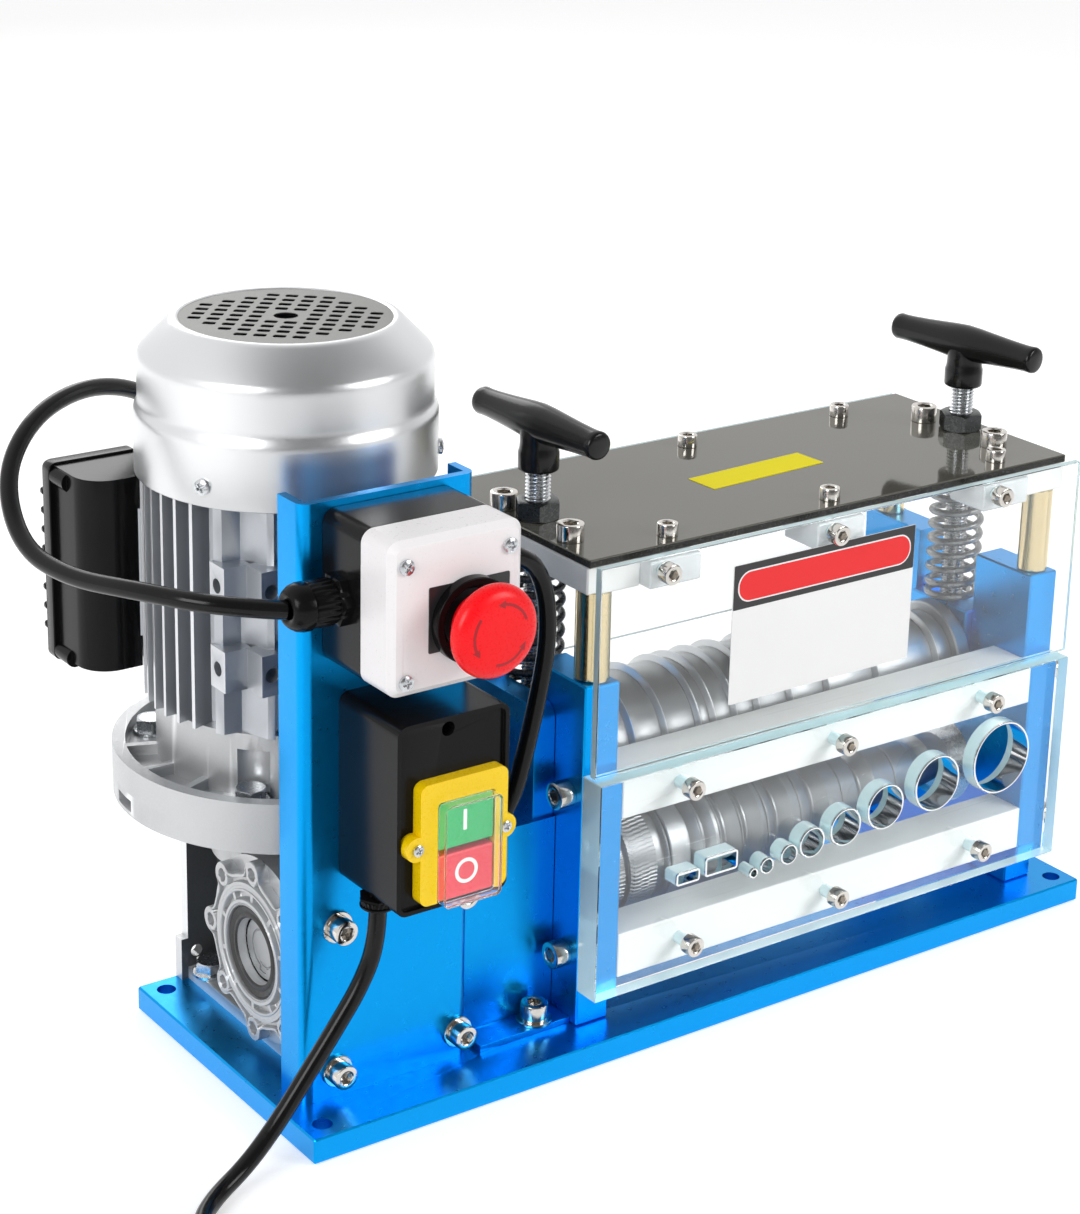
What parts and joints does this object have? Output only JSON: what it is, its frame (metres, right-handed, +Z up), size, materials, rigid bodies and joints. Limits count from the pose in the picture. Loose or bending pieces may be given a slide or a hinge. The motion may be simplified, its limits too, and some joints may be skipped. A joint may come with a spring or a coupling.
{
  "type": "bench cable stripping machine",
  "caption": "Motor-driven bench cable stripper: worm gearbox drives feed wheels under screw-set blade discs, with guide holes, emergency stop and start/stop switch.",
  "frame": {"origin": "centre of the base plate's underside, midway between its four mounting holes", "axes": "+X along the machine from the motor to the free end of the rollers, +Y from the feed side to the back, +Z up"},
  "size_m": [0.636, 0.4156, 0.341],
  "materials": {
    "bar_aluminium": "satin",
    "post_brass": "satin",
    "smoked_acrylic": "gloss",
    "clear_acrylic": "gloss",
    "chrome_tube": "gloss",
    "cast_alloy": "satin",
    "silver_paint": "satin",
    "black_plastic": "satin",
    "blue_paint": "gloss",
    "white_plastic": "satin",
    "yellow_plastic": "satin",
    "red_plastic": "gloss",
    "green_plastic": "gloss",
    "clear_window": "gloss",
    "cable_rubber": "satin",
    "zinc_steel": "satin",
    "spring_steel": "satin",
    "tool_steel": "gloss",
    "dark_steel": "satin",
    "bronze": "satin",
    "winding_core": "matte"
  },
  "bodies": {
    "frame": {"base_plate": "blue_paint", "side_plate_left": "blue_paint", "side_plate_right": "blue_paint", "crossbars": "bar_aluminium", "support_posts": "post_brass", "top_plate": "smoked_acrylic", "cover_blocks": "clear_acrylic", "front_cover": "clear_acrylic", "rear_cover": "clear_acrylic", "guide_block": "clear_acrylic", "guide_rails": "bar_aluminium", "gearbox_housing": "cast_alloy", "motor_flange": "cast_alloy", "motor_body": "cast_alloy", "motor_cowl": "silver_paint", "terminal_box_body": "black_plastic", "terminal_box_lid": "black_plastic", "switch_panel": "blue_paint", "estop_base": "black_plastic", "estop_cover": "white_plastic", "switch_box": "black_plastic", "switch_frame": "yellow_plastic", "gear_cover": "blue_paint", "guide_dies": "chrome_tube", "gearbox_output_cover": "cast_alloy", "ball_bearings": "chrome_tube", "stator": "winding_core", "estop_barrel": "black_plastic", "switch_window": "clear_window", "socket_screws": "zinc_steel", "hex_fasteners": "zinc_steel", "cross_head_screws": "zinc_steel", "cable_glands": "black_plastic", "motor_lead": "cable_rubber", "link_lead": "cable_rubber", "mains_cord": "cable_rubber", "mains_cord_coil": "cable_rubber", "mains_plug": "black_plastic", "springs": "spring_steel"},
    "rotor": {"motor_shaft_worm": "tool_steel", "rotor_core": "winding_core", "cooling_fan": "black_plastic"},
    "feed": {"feed_shaft": "tool_steel", "feed_wheels": "dark_steel", "feed_gear": "dark_steel", "worm_wheel": "bronze"},
    "carriage": {"bearing_blocks": "blue_paint", "blade_bushes": "bronze"},
    "blades": {"blade_shaft": "tool_steel", "cutting_discs": "tool_steel", "blade_spacers": "dark_steel", "blade_gear": "dark_steel"},
    "left_screw": {"left_adjusting_screw": "zinc_steel", "left_t_handle": "black_plastic"},
    "right_screw": {"right_adjusting_screw": "zinc_steel", "right_t_handle": "black_plastic"},
    "stop_plunger": {"estop_plunger": "zinc_steel"},
    "stop_head": {"estop_mushroom": "red_plastic"},
    "start_key": {"start_button": "green_plastic"},
    "stop_key": {"stop_button": "red_plastic"}
  },
  "joints": [
    {"name": "motor_spin", "type": "hinge", "parent": "frame", "child": "rotor", "pos_m": [-0.171, 0.04, 0.2], "axis": [0, 0, 1], "continuous": true},
    {"name": "feed_spin", "type": "hinge", "parent": "frame", "child": "feed", "pos_m": [0, -0.003, 0.063], "axis": [1, 0, 0], "continuous": true},
    {"name": "carriage_lift", "type": "slide", "parent": "frame", "child": "carriage", "axis": [0, 0, 1], "range_m": [0, 0.006], "deforming": ["springs"]},
    {"name": "blade_spin", "type": "hinge", "parent": "carriage", "child": "blades", "pos_m": [0, -0.003, 0.123], "axis": [1, 0, 0], "continuous": true},
    {"name": "left_screw_turn", "type": "hinge", "parent": "carriage", "child": "left_screw", "pos_m": [-0.0645, -0.003, 0.2], "axis": [0, 0, 1], "range_deg": [0, 1235]},
    {"name": "right_screw_turn", "type": "hinge", "parent": "carriage", "child": "right_screw", "pos_m": [0.1985, -0.003, 0.2], "axis": [0, 0, 1], "range_deg": [0, 1235]},
    {"name": "stop_press", "type": "slide", "parent": "frame", "child": "stop_plunger", "axis": [0, 1, 0], "range_m": [0, 0.005], "stiffness_N_per_m": 400},
    {"name": "stop_twist", "type": "hinge", "parent": "stop_plunger", "child": "stop_head", "pos_m": [-0.172, -0.12, 0.248], "axis": [0, 1, 0], "range_deg": [0, 45], "stiffness_Nm_per_rad": 0.05},
    {"name": "start_press", "type": "slide", "parent": "frame", "child": "start_key", "axis": [0, 1, 0], "range_m": [0, 0.003], "stiffness_N_per_m": 300},
    {"name": "off_press", "type": "slide", "parent": "frame", "child": "stop_key", "axis": [0, 1, 0], "range_m": [0, 0.003], "stiffness_N_per_m": 300}
  ],
  "couplings": [
    {"joint": "feed_spin", "follows": "motor_spin", "ratio": -0.033333},
    {"joint": "blade_spin", "follows": "motor_spin", "ratio": 0.033333},
    {"joint": "left_screw_turn", "follows": "carriage_lift", "rad_per_m": 3590.4},
    {"joint": "right_screw_turn", "follows": "carriage_lift", "rad_per_m": 3590.4}
  ]
}
